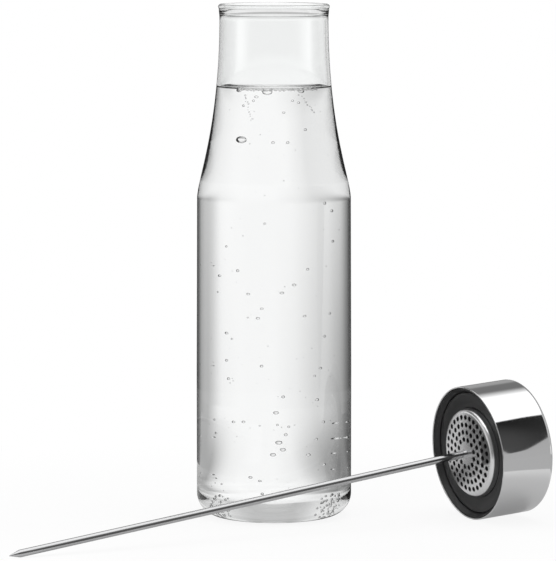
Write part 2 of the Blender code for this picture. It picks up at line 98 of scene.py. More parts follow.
MIRRORED_WALLS = (
    (-180, 0.18), (-140, 0.25), (-110, 0.60), (-62, 0.60), (-46, 0.35), (-30, 0.40), (20, 0.40),
    (60, 0.55), (103, 0.62), (108, 0.50), (134, 0.50), (150, 0.25), (179, 0.18),
)
MIRRORED_WALLS_EDGE = (0.02, 0.07)
BEHIND_EDGE = (0.46, 0.56)
REAR_EDGE = (0.35, 0.50)
REAR_TONE = 0.21
CLOTH_FRONT_EDGE = (0.735, 0.765)
CLOTH_REAR_EDGE = (0.69, 0.88)
CLOTH_TONE = 1.40
BRIGHTEST_TONE = 2.0


def feed(tree, value, socket):
    """Gives a socket its value, which is another node's socket or a plain number."""
    if isinstance(value, (int, float)):
        socket.default_value = value
    else:
        tree.links.new(value, socket)


def maths(tree, operation, first, second=None):
    """One sum on one or two values."""
    node = tree.nodes.new("ShaderNodeMath")
    node.operation = operation
    feed(tree, first, node.inputs[0])
    if second is not None:
        feed(tree, second, node.inputs[1])
    return node.outputs[0]


def smooth_between(tree, value, edge):
    """0 before the edge and 1 after it, with a soft turn between."""
    node = tree.nodes.new("ShaderNodeMapRange")
    node.interpolation_type = "SMOOTHSTEP"
    node.inputs["From Min"].default_value, node.inputs["From Max"].default_value = edge
    tree.links.new(value, node.inputs["Value"])
    return node.outputs[0]


def blend_values(tree, share, first, second):
    """first where share is 0, second where share is 1."""
    node = tree.nodes.new("ShaderNodeMix")
    sockets = (node.inputs[0], node.inputs[2], node.inputs[3])
    for value, socket in zip((share, first, second), sockets):
        feed(tree, value, socket)
    return node.outputs[0]


def axes_of(tree, place):
    parts = tree.nodes.new("ShaderNodeSeparateXYZ")
    tree.links.new(place, parts.inputs[0])
    return parts.outputs


def tones_round(tree, place, tones):
    """The tone of a row at the compass direction of a place."""
    axes = axes_of(tree, place)
    compass = maths(tree, "ARCTAN2", axes["X"], axes["Y"])
    turn = maths(tree, "ADD", maths(tree, "DIVIDE", compass, math.tau), 0.5)
    ramp = tree.nodes.new("ShaderNodeValToRGB")
    stops = ramp.color_ramp.elements
    stops.remove(stops[1])
    for index, (degrees, tone) in enumerate(tones):
        stop = stops[0] if index == 0 else stops.new(degrees / 360 + 0.5)
        stop.color = (tone / BRIGHTEST_TONE,) * 3 + (1,)
    tree.links.new(turn, ramp.inputs[0])
    return maths(tree, "MULTIPLY", ramp.outputs[0], BRIGHTEST_TONE)


def hang_the_sweep():
    world = bpy.data.worlds.new("studio")
    world.use_nodes = True
    bpy.context.scene.world = world
    tree = world.node_tree
    place = tree.nodes.new("ShaderNodeTexCoord").outputs["Generated"]
    path = tree.nodes.new("ShaderNodeLightPath").outputs
    axes = axes_of(tree, place)
    height = axes["Z"]
    behind = smooth_between(tree, axes["Y"], BEHIND_EDGE)
    cloth_in_front = smooth_between(tree, height, CLOTH_FRONT_EDGE)
    cloth_at_rear = smooth_between(tree, height, CLOTH_REAR_EDGE)
    overhead = blend_values(tree, behind, cloth_in_front, cloth_at_rear)
    rear = maths(tree, "MULTIPLY", behind, smooth_between(tree, height, REAR_EDGE))
    low = tones_round(tree, place, MIRRORED_LOW)
    walls = tones_round(tree, place, MIRRORED_WALLS)
    mirrored = blend_values(tree, smooth_between(tree, height, MIRRORED_WALLS_EDGE), low, walls)
    mirrored = blend_values(tree, rear, mirrored, REAR_TONE)
    mirrored = blend_values(tree, overhead, mirrored, CLOTH_TONE)
    low = tones_round(tree, place, SWEEP_LOW)
    high = tones_round(tree, place, SWEEP_HIGH)
    through = blend_values(tree, smooth_between(tree, height, SWEEP_HIGH_EDGE), low, high)
    for edge, band in BANDS_ABOVE:
        if isinstance(band, tuple):
            band = tones_round(tree, place, band)
        through = blend_values(tree, smooth_between(tree, height, edge), through, band)
    below = tones_round(tree, place, SWEEP_BELOW)
    through = blend_values(tree, smooth_between(tree, height, SWEEP_BELOW_EDGE), through, below)
    tone = blend_values(tree, path["Is Transmission Ray"], mirrored, through)
    tone = blend_values(tree, path["Is Camera Ray"], tone, 1.0)
    tree.links.new(tone, tree.nodes["Background"].inputs["Color"])


hang_the_sweep()


# The table
# A small round table with a matt pale top, which keeps the carafe's and the lid's shadows. Here an
# edge is a distance from the carafe's axis. In TABLE_FAR and TABLE_NEAR, which only glass and water
# show, the same program solved most tones up to 60 degrees from photographed greys.
# For rays other than the camera's, the table glows in part or in whole with painted tones.
TABLE_RADIUS = 0.45
TABLE_TOP = -0.0002
TABLE_CORNERS = 128
TABLE_COLOUR = 0.78
TABLE_GRAIN = 0.03
TABLE_GRAIN_SCALE = 900
TABLE_FAR = (
    (-180, 0.40), (-125, 0.40), (-105, 0.95), (-92, 0.95), (-84, 0.04), (-50, 0.06), (-37, 0.24),
    (-31, 0.39), (-21, 0.60), (-13, 0.72), (-7, 0.90), (-2, 1.0), (12, 1.0), (21, 0.89),
    (27, 0.62), (31, 0.46), (42, 0.44), (55, 0.08), (84, 0.04), (92, 0.95), (105, 0.95),
    (125, 0.40), (179, 0.40),
)
TABLE_NEAR = (
    (-180, 0.40), (-125, 0.40), (-105, 0.95), (-92, 0.95), (-84, 0.04), (-42, 0.04), (-33, 0.22),
    (-23, 0.19), (-14, 0.36), (-8, 0.61), (-4, 0.90), (0, 1.0), (5, 1.0), (11, 0.90),
    (14, 0.78), (22, 0.36), (37, 0.36), (50, 0.08), (84, 0.04), (92, 0.95), (105, 0.95),
    (125, 0.40), (179, 0.40),
)
TABLE_NEAR_EDGE = (0.45, 0.15)
BESIDE_THE_GLASS_EDGE = (0.06, 0.12)
BESIDE_THE_GLASS_TONE = 0.88
PAINTED_SHADOW_UNDER_GLASS_EDGE = (0.034, 0.048)
PAINTED_SHADOW_UNDER_GLASS_TONE = 0.55
MIRRORED_NEAR_TONE = 0.42
PAINTED_LINE_RISE = (0.17, 0.206)
PAINTED_LINE_END = (0.206, 0.212)
PAINTED_LINE_GAIN = 0.30
MIRRORED_FAR_TONE = 0.52
PAINTED_DARK_TONE = 0.05
DARK_WALL_LIMIT = 0.21
PAINTED_DARK_SHARE = ((-180, 0.0), (8, 0.0), (18, 1.0), (64, 1.0), (74, 0.0), (179, 0.0))
LEAST_GLOW_SHARE = 0.55
SEEN_WHITE_EDGE = (0.14, 0.30)
SEEN_WHITE_LEAST = 0.90


def glow(tree, tone):
    node = tree.nodes.new("ShaderNodeEmission")
    if isinstance(tone, float):
        node.inputs["Color"].default_value = (tone, tone, tone, 1)
    else:
        tree.links.new(tone, node.inputs["Color"])
    return node.outputs[0]


def mix_shaders(tree, share, first, second):
    node = tree.nodes.new("ShaderNodeMixShader")
    for socket, value in zip(node.inputs, (share, first, second)):
        tree.links.new(value, socket)
    return node.outputs[0]


def noise_on(tree, place, scale, detail=2.0):
    node = tree.nodes.new("ShaderNodeTexNoise")
    node.inputs["Scale"].default_value = scale
    node.inputs["Detail"].default_value = detail
    tree.links.new(place, node.inputs["Vector"])
    return node.outputs[0]


# Glass and water see the table glow, with tones by direction and painted shadow under the glass.
def painted_table_through_glass(tree, place, distance):
    far = tones_round(tree, place, TABLE_FAR)
    near = tones_round(tree, place, TABLE_NEAR)
    tone = blend_values(tree, smooth_between(tree, distance, TABLE_NEAR_EDGE), far, near)
    beside = smooth_between(tree, distance, BESIDE_THE_GLASS_EDGE)
    tone = blend_values(tree, beside, BESIDE_THE_GLASS_TONE, tone)
    under = smooth_between(tree, distance, PAINTED_SHADOW_UNDER_GLASS_EDGE)
    return glow(tree, blend_values(tree, under, PAINTED_SHADOW_UNDER_GLASS_TONE, tone))


# Painted reflection: the steel sees the table glow, with a painted bright line and dark zones.
def painted_table_in_steel(tree, place, distance, matt):
    dark_wall = maths(tree, "LESS_THAN", tones_round(tree, place, MIRRORED_LOW), DARK_WALL_LIMIT)
    far = blend_values(tree, dark_wall, MIRRORED_FAR_TONE, PAINTED_DARK_TONE)
    past_line = smooth_between(tree, distance, PAINTED_LINE_END)
    line = blend_values(tree, past_line, smooth_between(tree, distance, PAINTED_LINE_RISE), 0.0)
    near = maths(tree, "ADD", maths(tree, "MULTIPLY", line, PAINTED_LINE_GAIN), MIRRORED_NEAR_TONE)
    dark = tones_round(tree, place, PAINTED_DARK_SHARE)
    tone = blend_values(tree, dark, blend_values(tree, past_line, near, far), PAINTED_DARK_TONE)
    share = blend_values(tree, maths(tree, "MAXIMUM", past_line, dark), LEAST_GLOW_SHARE, 1.0)
    return mix_shaders(tree, share, matt, glow(tree, tone))


def table_material():
    material = bpy.data.materials.new("pale_table")
    material.use_nodes = True
    material.cycles.emission_sampling = "NONE"
    tree = material.node_tree
    tree.nodes.clear()
    place = tree.nodes.new("ShaderNodeTexCoord").outputs["Object"]
    path = tree.nodes.new("ShaderNodeLightPath").outputs
    length = tree.nodes.new("ShaderNodeVectorMath")
    length.operation = "LENGTH"
    tree.links.new(place, length.inputs[0])
    distance = length.outputs["Value"]
    grain = maths(tree, "MULTIPLY", noise_on(tree, place, TABLE_GRAIN_SCALE), TABLE_GRAIN)
    matt = tree.nodes.new("ShaderNodeBsdfDiffuse")
    shade = maths(tree, "ADD", grain, TABLE_COLOUR - TABLE_GRAIN / 2)
    tree.links.new(shade, matt.inputs["Color"])
    mirrored = painted_table_in_steel(tree, place, distance, matt.outputs[0])
    through = painted_table_through_glass(tree, place, distance)
    unseen = mix_shaders(tree, path["Is Transmission Ray"], mirrored, through)
    far_out = smooth_between(tree, distance, SEEN_WHITE_EDGE)
    white = blend_values(tree, far_out, SEEN_WHITE_LEAST, 1.0)
    seen = mix_shaders(tree, white, matt.outputs[0], glow(tree, 1.0))
    end = tree.nodes.new("ShaderNodeOutputMaterial")
    tree.links.new(mix_shaders(tree, path["Is Camera Ray"], unseen, seen), end.inputs[0])
    return material


def lay_the_table():
    points = []
    for index in range(TABLE_CORNERS):
        angle = math.tau * index / TABLE_CORNERS
        points.append((TABLE_RADIUS * math.cos(angle), TABLE_RADIUS * math.sin(angle), TABLE_TOP))
    mesh = bpy.data.meshes.new("table")
    mesh.from_pydata(points, [], [tuple(range(TABLE_CORNERS))])
    table = bpy.data.objects.new("table", mesh)
    mesh.materials.append(table_material())
    bpy.context.scene.collection.objects.link(table)


lay_the_table()


# The dark cards
# Two small black cards, seen only in the polished steel: the dark patch on the lid's side and the
# dark line along the skewer. A scratch program traced the lid card's outline back from that patch
# in the photograph.
LID_CARD_PLACE = (0.2368, -0.0923, 0)
LID_CARD_TURN = math.radians(61.0)
LID_CARD_OUTLINE = (
    (-0.010, 0.206), (-0.030, 0.140), (-0.030, 0.084), (-0.023, 0.072), (-0.020, 0.055),
    (-0.017, 0.045), (-0.011, 0.047), (-0.007, 0.050), (0.006, 0.077), (0.012, 0.098),
    (0.034, 0.168), (0.038, 0.183), (0.036, 0.192), (0.030, 0.200), (0.016, 0.204),
)
LID_CARD_TONE = 0.018
LID_CARD_SIDE_EDGE = (0.010, -0.016)
LID_CARD_SIDE_GAIN = 0.035
LID_CARD_LOW_EDGE = (0.200, 0.060)
LID_CARD_LOW_GAIN = 0.022
SKEWER_CARD_PLACE = (-0.1298, -0.1553, 0)
SKEWER_CARD_TURN = math.radians(26.8)
SKEWER_CARD_OUTLINE = (
    (-0.02, 0.0), (0.05, 0.0), (0.290, 0.0345), (0.290, 0.0510), (-0.02, 0.006)
)
SKEWER_CARD_EDGE = (0.20, 0.27)
SKEWER_CARD_TONES = (0.13, 0.07)


# Painted reflection: the lid card glows, lighter towards one side and towards its foot.
def painted_lid_card_tone(tree, across, up):
    side = smooth_between(tree, across, LID_CARD_SIDE_EDGE)
    side = maths(tree, "MULTIPLY", side, LID_CARD_SIDE_GAIN)
    low = smooth_between(tree, up, LID_CARD_LOW_EDGE)
    low = maths(tree, "MULTIPLY", low, LID_CARD_LOW_GAIN)
    return maths(tree, "ADD", maths(tree, "ADD", side, low), LID_CARD_TONE)


# Painted reflection: the skewer card glows, darker from about 0.2 m along it.
def painted_skewer_card_tone(tree, across, up):
    return blend_values(tree, smooth_between(tree, across, SKEWER_CARD_EDGE), *SKEWER_CARD_TONES)


def stand_a_card(name, place, turn, outline, tone_of):
    points = [(across, 0, up) for across, up in outline]
    mesh = bpy.data.meshes.new(name)
    mesh.from_pydata(points, [], [tuple(range(len(points)))])
    card = bpy.data.objects.new(name, mesh)
    card.location = place
    card.rotation_euler = (0, 0, turn)
    material = bpy.data.materials.new(name)
    material.use_nodes = True
    material.cycles.emission_sampling = "NONE"
    tree = material.node_tree
    tree.nodes.clear()
    axes = axes_of(tree, tree.nodes.new("ShaderNodeTexCoord").outputs["Object"])
    end = tree.nodes.new("ShaderNodeOutputMaterial")
    tree.links.new(glow(tree, tone_of(tree, axes["X"], axes["Z"])), end.inputs[0])
    mesh.materials.append(material)
    card.visible_camera = False
    card.visible_diffuse = False
    card.visible_transmission = False
    card.visible_shadow = False
    bpy.context.scene.collection.objects.link(card)


stand_a_card("card_by_the_lid", LID_CARD_PLACE, LID_CARD_TURN, LID_CARD_OUTLINE, painted_lid_card_tone)
stand_a_card(
    "card_by_the_skewer", SKEWER_CARD_PLACE, SKEWER_CARD_TURN, SKEWER_CARD_OUTLINE, painted_skewer_card_tone
)


# The lamps
# Two large soft lamps, one overhead and a weaker one in front to the left, light the table and the
# black parts. Steel and glass don't show them.
LAMPS = (
    ("overhead_lamp", (0.1, 0.1, 1.4), (0, 0, 0), 1.0, 5),
    ("front_lamp", (-0.7, -1.1, 0.9), (0, 0, 0.1), 0.8, 4),
)


def hang_lamp(name, place, target, size, power):
    lamp = bpy.data.lights.new(name, "AREA")
    lamp.shape = "SQUARE"
    lamp.size = size
    lamp.energy = power
    holder = bpy.data.objects.new(name, lamp)
    holder.location = place
    holder.rotation_euler = (Vector(target) - Vector(place)).to_track_quat("-Z", "Y").to_euler()
    holder.visible_glossy = False
    holder.visible_transmission = False
    bpy.context.scene.collection.objects.link(holder)


for lamp_values in LAMPS:
    hang_lamp(*lamp_values)


# The glass
# One blown vessel of clear glass, two millimetres thick: a heavier flat base with a rounded
# corner, a straight body, a shoulder drawn into a long neck, and a lip melted round in a flame.
BODY_RADIUS = 0.0425
BODY_STRAIGHT_HEIGHT = 0.0800
BODY_HEIGHT = 0.1745
SHOULDER_RADIUS = 0.0421
SHOULDER_LENGTH = 0.0995
SHOULDER_PULL = 0.0112
NECK_PULL = 0.0612
NECK_RADIUS = 0.0297
LIP_HEIGHT = 0.27947
LIP_BEAD_RADIUS = 0.0015
LIP_BEAD_CENTRE = 0.0289
BASE_CORNER_RADIUS = 0.0124
INNER_CORNER_RADIUS = 0.0095
CORNER_GUARD = 0.0006
BODY_WALL = 0.0020
NECK_WALL = 0.0018
BASE_THICKNESS = 0.0030
WATER_HEIGHT = 0.2349
MENISCUS_RISE = 0.0016
GLASS_STEPS = 256
SHOULDER_ROWS = 60
SHARPEST_SMOOTH = math.radians(32)
GLASS_BEND = 1.50
GLASS_BEND_IN_WATER = 1.128
GLASS_TINT = (0.985, 0.992, 0.990, 1)
NO_TINT = (1, 1, 1, 1)
GLASS_WAVES = 22
GLASS_WAVE_DEPTH = 0.00004
INNER_WAVE_DEPTH = 0.00002
WAVE_STRETCH = (1, 1, 0.35)


def arc(centre_radius, centre_height, radius, start, end, count):
    """Points of a circular arc in (radius, height), by angle in degrees from straight outward.

    count is the number of steps from start to end.
    """
    points = []
    for index in range(count + 1):
        angle = math.radians(start + (end - start) * index / count)
        points.append(
            (centre_radius + radius * math.cos(angle), centre_height + radius * math.sin(angle))
        )
    return points


def shoulder_line(body_wall, neck_wall):
    """The drawn shoulder and neck, from the body up, moved in by the wall there."""
    low = Vector((SHOULDER_RADIUS - body_wall, BODY_HEIGHT))
    high = Vector((NECK_RADIUS - neck_wall, BODY_HEIGHT + SHOULDER_LENGTH))
    low_handle = low + Vector((0, SHOULDER_PULL))
    high_handle = high - Vector((0, NECK_PULL))
    points = []
    for index in range(SHOULDER_ROWS + 1):
        t = index / SHOULDER_ROWS
        s = 1 - t
        point = s**3 * low + 3 * s * s * t * low_handle + 3 * s * t * t * high_handle + t**3 * high
        points.append((point.x, point.y))
    return points


def inner_side():
    """The inside of the glass, from the middle of its floor up to the straight neck."""
    bore = BODY_RADIUS - BODY_WALL
    corner = BASE_THICKNESS + INNER_CORNER_RADIUS
    points = [(0, BASE_THICKNESS)]
    points += arc(bore - INNER_CORNER_RADIUS, corner, INNER_CORNER_RADIUS, -90, 0, 16)
    points += [(bore, corner + CORNER_GUARD), (bore, BODY_STRAIGHT_HEIGHT)]
    points += shoulder_line(BODY_WALL, NECK_WALL)
    return points


def inner_radius(height):
    """The bore of the glass at a height above its floor's corner."""
    points = inner_side()
    for (first, low), (second, high) in zip(points, points[1:]):
        if low <= height <= high and high > low:
            return first + (second - first) * (height - low) / (high - low)
    return points[-1][0]


def sweep_round(name, outline, steps, closed, finish_of=None, place=None):
    """A round piece: its outline in (radius, height), down the outer side, swept about Z.

    finish_of gives the material of each row of faces. Each point also keeps its place on the
    piece itself, for the marks that run round it.
    """
    points = []
    rows = []
    for radius, height in outline:
        if radius == 0:
            rows.append([len(points)] * steps)
            points.append((0, 0, height))
            continue
        rows.append(range(len(points), len(points) + steps))
        for step in range(steps):
            angle = math.tau * step / steps
            points.append((radius * math.cos(angle), radius * math.sin(angle), height))
    faces = []
    finishes = []
    for index in range(len(outline) if closed else len(outline) - 1):
        above, below = rows[index], rows[(index + 1) % len(outline)]
        for step in range(steps):
            after = (step + 1) % steps
            corners = (above[step], below[step], below[after], above[after])
            faces.append(list(dict.fromkeys(corners)))
            finishes.append(finish_of(index) if finish_of else 0)
    mesh = bpy.data.meshes.new(name)
    mesh.from_pydata(points, [], faces)
    mesh.polygons.foreach_set("material_index", finishes)
    own_place = mesh.attributes.new("own_place", "FLOAT_VECTOR", "POINT")
    own_place.data.foreach_set("vector", [number for point in points for number in point])
    if place is not None:
        mesh.transform(place)
    mesh.shade_smooth()
    mesh.set_sharp_from_angle(angle=SHARPEST_SMOOTH)
    piece = bpy.data.objects.new(name, mesh)
    bpy.context.scene.collection.objects.link(piece)
    return piece


def surface_of(name):
    """A new material with its tree and its one surface shader."""
    material = bpy.data.materials.new(name)
    material.use_nodes = True
    return material, material.node_tree, material.node_tree.nodes["Principled BSDF"]


def raise_marks(tree, shader, marks, depth):
    """The fine relief of a surface, with its real depth."""
    bump = tree.nodes.new("ShaderNodeBump")
    bump.inputs["Strength"].default_value = 1.0
    bump.inputs["Distance"].default_value = depth
    tree.links.new(marks, bump.inputs["Height"])
    tree.links.new(bump.outputs[0], shader.inputs["Normal"])


def clear_material(name, bend, tint, wave_scale, wave_depth):
    """Clear glass or water with the slow unevenness of its surface, fixed to the piece."""
    material, tree, shader = surface_of(name)
    shader.inputs["Base Color"].default_value = tint
    shader.inputs["Roughness"].default_value = 0.0
    shader.inputs["IOR"].default_value = bend
    shader.inputs["Transmission Weight"].default_value = 1.0
    mapping = tree.nodes.new("ShaderNodeMapping")
    mapping.inputs["Scale"].default_value = WAVE_STRETCH
    tree.links.new(tree.nodes.new("ShaderNodeTexCoord").outputs["Object"], mapping.inputs["Vector"])
    waves = noise_on(tree, mapping.outputs[0], wave_scale, 3)
    raise_marks(tree, shader, waves, wave_depth)
    return material


def blow_the_glass():
    wet_top = WATER_HEIGHT + MENISCUS_RISE
    wet = [point for point in inner_side() if point[1] < wet_top]
    dry = [point for point in inner_side() if point[1] > wet_top]
    corner = BODY_RADIUS - BASE_CORNER_RADIUS
    outline = wet + [(inner_radius(wet_top), wet_top)] + dry
    outline += arc(LIP_BEAD_CENTRE, LIP_HEIGHT, LIP_BEAD_RADIUS, 205, -35, 26)
    outline += shoulder_line(0, 0)[::-1]
    outline.append((BODY_RADIUS, BODY_STRAIGHT_HEIGHT))
    outline.append((BODY_RADIUS, BASE_CORNER_RADIUS + CORNER_GUARD))
    outline += arc(corner, BASE_CORNER_RADIUS, BASE_CORNER_RADIUS, 0, -90, 24)
    outline.append((0, 0))
    glass = sweep_round(
        "glass_vessel", outline, GLASS_STEPS, False, lambda row: int(row < len(wet))
    )
    glass.data.materials.append(
        clear_material("clear_glass_to_air", GLASS_BEND, GLASS_TINT, GLASS_WAVES, GLASS_WAVE_DEPTH)
    )
    glass.data.materials.append(
        clear_material(
            "clear_glass_to_water", GLASS_BEND_IN_WATER, NO_TINT, GLASS_WAVES, INNER_WAVE_DEPTH
        )
    )
    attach(glass, "carafe")
    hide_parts("carafe_glass")


blow_the_glass()


# The water
# Sparkling water up to the lower neck. Its surface creeps up the glass in a thin meniscus. Below
# that, the water's own side isn't seen, because the inner side of the glass already bends the
# light as glass against water does.
WATER_BEND = 1.333
WATER_GAP = 0.00003
FLOOR_ROWS_BELOW = 0.004
SURFACE_REACH = 0.0022
SURFACE_ROWS = 40
SURFACE_WAVES = 60
SURFACE_WAVE_DEPTH = 0.00006


def pour_the_water():
    wet_top = WATER_HEIGHT + MENISCUS_RISE
    bore = inner_radius(wet_top) - WATER_GAP
    outline = [(0, WATER_HEIGHT)]
    for row in range(1, SURFACE_ROWS + 1):
        radius = bore * (1 - (1 - row / SURFACE_ROWS) ** 2)
        rise = MENISCUS_RISE * math.exp(-(bore - radius) / SURFACE_REACH)
        outline.append((radius, WATER_HEIGHT + rise))
    for radius, height in inner_side()[::-1]:
        if height < wet_top:
            lift = WATER_GAP if height < FLOOR_ROWS_BELOW else 0
            outline.append((max(radius - WATER_GAP, 0), height + lift))
    water = sweep_round("water", outline, GLASS_STEPS, False, lambda row: int(row >= SURFACE_ROWS))
    water.data.materials.append(
        clear_material("water_surface", WATER_BEND, NO_TINT, SURFACE_WAVES, SURFACE_WAVE_DEPTH)
    )
    against_glass, _, shader = surface_of("water_against_glass")
    shader.inputs["Alpha"].default_value = 0
    water.data.materials.append(against_glass)
    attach(water, "carafe")


pour_the_water()


# The bubbles
# Gas from the sparkling water, each bubble its own cavity: on the glass, in strings and as froth
# round the floor. A turn is in degrees from the front, a height or radius in millimetres. A scratch
# program traced most WALL_BUBBLES back onto the glass from places in the photograph.
WALL_BUBBLES = (
    (-39.6, 235.0, 1.7), (-7.1, 234.4, 2.7), (30.0, 234.8, 1.9), (-32.9, 208.4, 3.2),
    (-18.3, 231.8, 1.2), (-21.3, 229.7, 0.8), (-32.1, 226.9, 0.8), (19.4, 229.7, 0.8),
    (25.8, 228.6, 0.8), (9.9, 223.4, 0.8), (31.4, 214.0, 0.9), (-0.8, 207.4, 0.9),
    (12.8, 207.3, 0.9), (6.1, 126.9, 1.2), (15.7, 131.1, 1.2), (1.6, 61.8, 1.5),
    (9.1, 49.8, 1.0), (3.8, 45.5, 1.9), (6.9, 41.6, 1.6), (-0.7, 38.9, 1.6),
    (27.4, 38.2, 1.4), (11.4, 54.1, 0.8), (-32.5, 56.0, 1.1), (-23.9, 56.4, 1.1),
    (-9.0, 17.5, 0.9), (35.0, 68.0, 1.3), (-155.6, 135.3, 0.3), (-155.8, 79.6, 0.3),
    (155.6, 38.8, 0.7), (156.3, 30.6, 0.5), (156.6, 21.6, 0.4), (155.8, 47.4, 0.5),
    (-155.9, 39.6, 0.4), (-155.7, 18.5, 0.4), (-156.4, 16.6, 0.4),
)
STRINGS = ((-31, -22, 233, 219, 14), (27, 44, 233, 223, 14))
STRING_WANDER = (-1.5, 1.5)
STRING_RADII = (0.25, 0.55)
SURFACE_BEADS = 110
SURFACE_BEADS_START = -40
SURFACE_BEADS_SPAN = 90
SURFACE_BEAD_SLACK = (0.1, 0.9)
SURFACE_BEAD_RADII = (0.25, 0.50)
FROTH = ((50, 12, 80), (-49, 10, 56))
FROTH_FLOOR = 3.6
FROTH_DEPTH = 11.5
FROTH_PILE = 1.3
FROTH_SPREAD = 1.4
FROTH_RADII = (0.3, 0.9)
SCATTERED = (
    (34, (-52, 52), (16, 180), (0.5, 1.25)),
    (90, (-60, 60), (14, 228), (0.15, 0.4)),
)
SCATTER_SEED = 11
FLOOR_CLEARANCE = 0.0002
LARGE_BUBBLE = 0.001
LARGE_FLATNESS = 0.62
SMALL_FLATNESS = 0.85
BUBBLE_CLEARANCE = 1.15
BUBBLE_WAVES = 400
BUBBLE_WAVE_DEPTH = 0.00001


def place_the_bubbles():
    scatter = random.Random(SCATTER_SEED)
    bubbles = list(WALL_BUBBLES)
    for first, last, high, low, count in STRINGS:
        for index in range(count):
            share = (index + scatter.random()) / count
            turn = first + (last - first) * share + scatter.uniform(*STRING_WANDER)
            bubbles.append((turn, high + (low - high) * share, scatter.uniform(*STRING_RADII)))
    for index in range(SURFACE_BEADS):
        share = (index + scatter.uniform(*SURFACE_BEAD_SLACK)) / SURFACE_BEADS
        turn = SURFACE_BEADS_START + SURFACE_BEADS_SPAN * share
        height = 1000 * WATER_HEIGHT + scatter.uniform(*SURFACE_BEAD_SLACK)
        bubbles.append((turn, height, scatter.uniform(*SURFACE_BEAD_RADII)))
    for middle, spread, count in FROTH:
        for index in range(count):
            height = FROTH_FLOOR + FROTH_DEPTH * scatter.random() ** FROTH_PILE
            turn = middle + spread * (scatter.random() + scatter.random() - 1) * FROTH_SPREAD
            bubbles.append((turn, height, scatter.uniform(*FROTH_RADII)))
    for count, turns, heights, radii in SCATTERED:
        for index in range(count):
            bubbles.append([scatter.uniform(*limits) for limits in (turns, heights, radii)])
    return bubbles


def blow_the_bubbles():
    shape = bmesh.new()
    bmesh.ops.create_icosphere(shape, subdivisions=3, radius=1)
    bmesh.ops.reverse_faces(shape, faces=shape.faces)
    ball = [vertex.co.copy() for vertex in shape.verts]
    skin = [[vertex.index for vertex in face.verts] for face in shape.faces]
    shape.free()
    points = []
    faces = []
    for turn, height, radius in place_the_bubbles():
        height, radius = height / 1000, radius / 1000
        flat = LARGE_FLATNESS if radius > LARGE_BUBBLE else SMALL_FLATNESS
        wall = inner_radius(max(height, BASE_THICKNESS + FLOOR_CLEARANCE))
        out = wall - WATER_GAP - BUBBLE_CLEARANCE * flat * radius
        place = Matrix.Rotation(math.radians(turn), 4, "Z") @ Matrix.Translation((0, -out, height))
        place = place @ Matrix.Diagonal((radius, radius * flat, radius * flat, 1))
        faces += [[corner + len(points) for corner in face] for face in skin]
        points += [place @ vertex for vertex in ball]
    mesh = bpy.data.meshes.new("gas_bubbles")
    mesh.from_pydata(points, [], faces)
    mesh.shade_smooth()
    mesh.materials.append(
        clear_material("bubble_skin", WATER_BEND, NO_TINT, BUBBLE_WAVES, BUBBLE_WAVE_DEPTH)
    )
    bubbles = bpy.data.objects.new("gas_bubbles", mesh)
    bpy.context.scene.collection.objects.link(bubbles)
    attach(bubbles, "carafe")


blow_the_bubbles()


# The lid's shell
# A deep-drawn cap of stainless steel, polished to a mirror, 0.8 mm thick with a bare rim. The lid
# lies on the edge of that rim and on the skewer's point. Fine turning marks run round the cap, and
# its closed end has the pour hole.
LID_PLACE = Vector((0.1056, -0.0196, 0.03661))
LID_TILT = math.radians(4.036)
LID_TURN = math.radians(29.2)
LID_RADIUS = 0.03668
LID_HEIGHT = 0.0324
LID_EDGE_RADIUS = 0.0022
SHELL_WALL = 0.0008
SHELL_RIM_RADIUS = 0.0003
SHELL_GUARD = 0.0002
SHELL_MIDDLE = 0.0160
POUR_HOLE_RADIUS = 0.0228
POUR_HOLE_EDGE_RADIUS = 0.0004
POUR_HOLE_GUARD = 0.0003
STEEL = (0.76, 0.76, 0.765)
STEEL_SPREAD = 0.03
STEEL_WEAR = 0.05
SMEAR_SCALE = 60
MARK_SLIP = 0.0012
SHELL_FINISH = (0.065, 9000, 0.0000012)
TURNED_STEPS = 160


def laid_down(tilt, turn):
    """The place of a piece whose own +Z lies along the table from the rim, rising by tilt."""
    return (
        Matrix.Translation(LID_PLACE)
        @ Matrix.Rotation(turn, 4, "Z")
        @ Matrix.Rotation(math.pi / 2 - tilt, 4, "Y")
    )


LID = laid_down(LID_TILT, LID_TURN)


def shades_between(tree, share, first, second):
    node = tree.nodes.new("ShaderNodeMix")
    node.data_type = "RGBA"
    node.inputs[6].default_value = (*first, 1)
    node.inputs[7].default_value = (*second, 1)
    tree.links.new(share, node.inputs[0])
    return node.outputs[2]


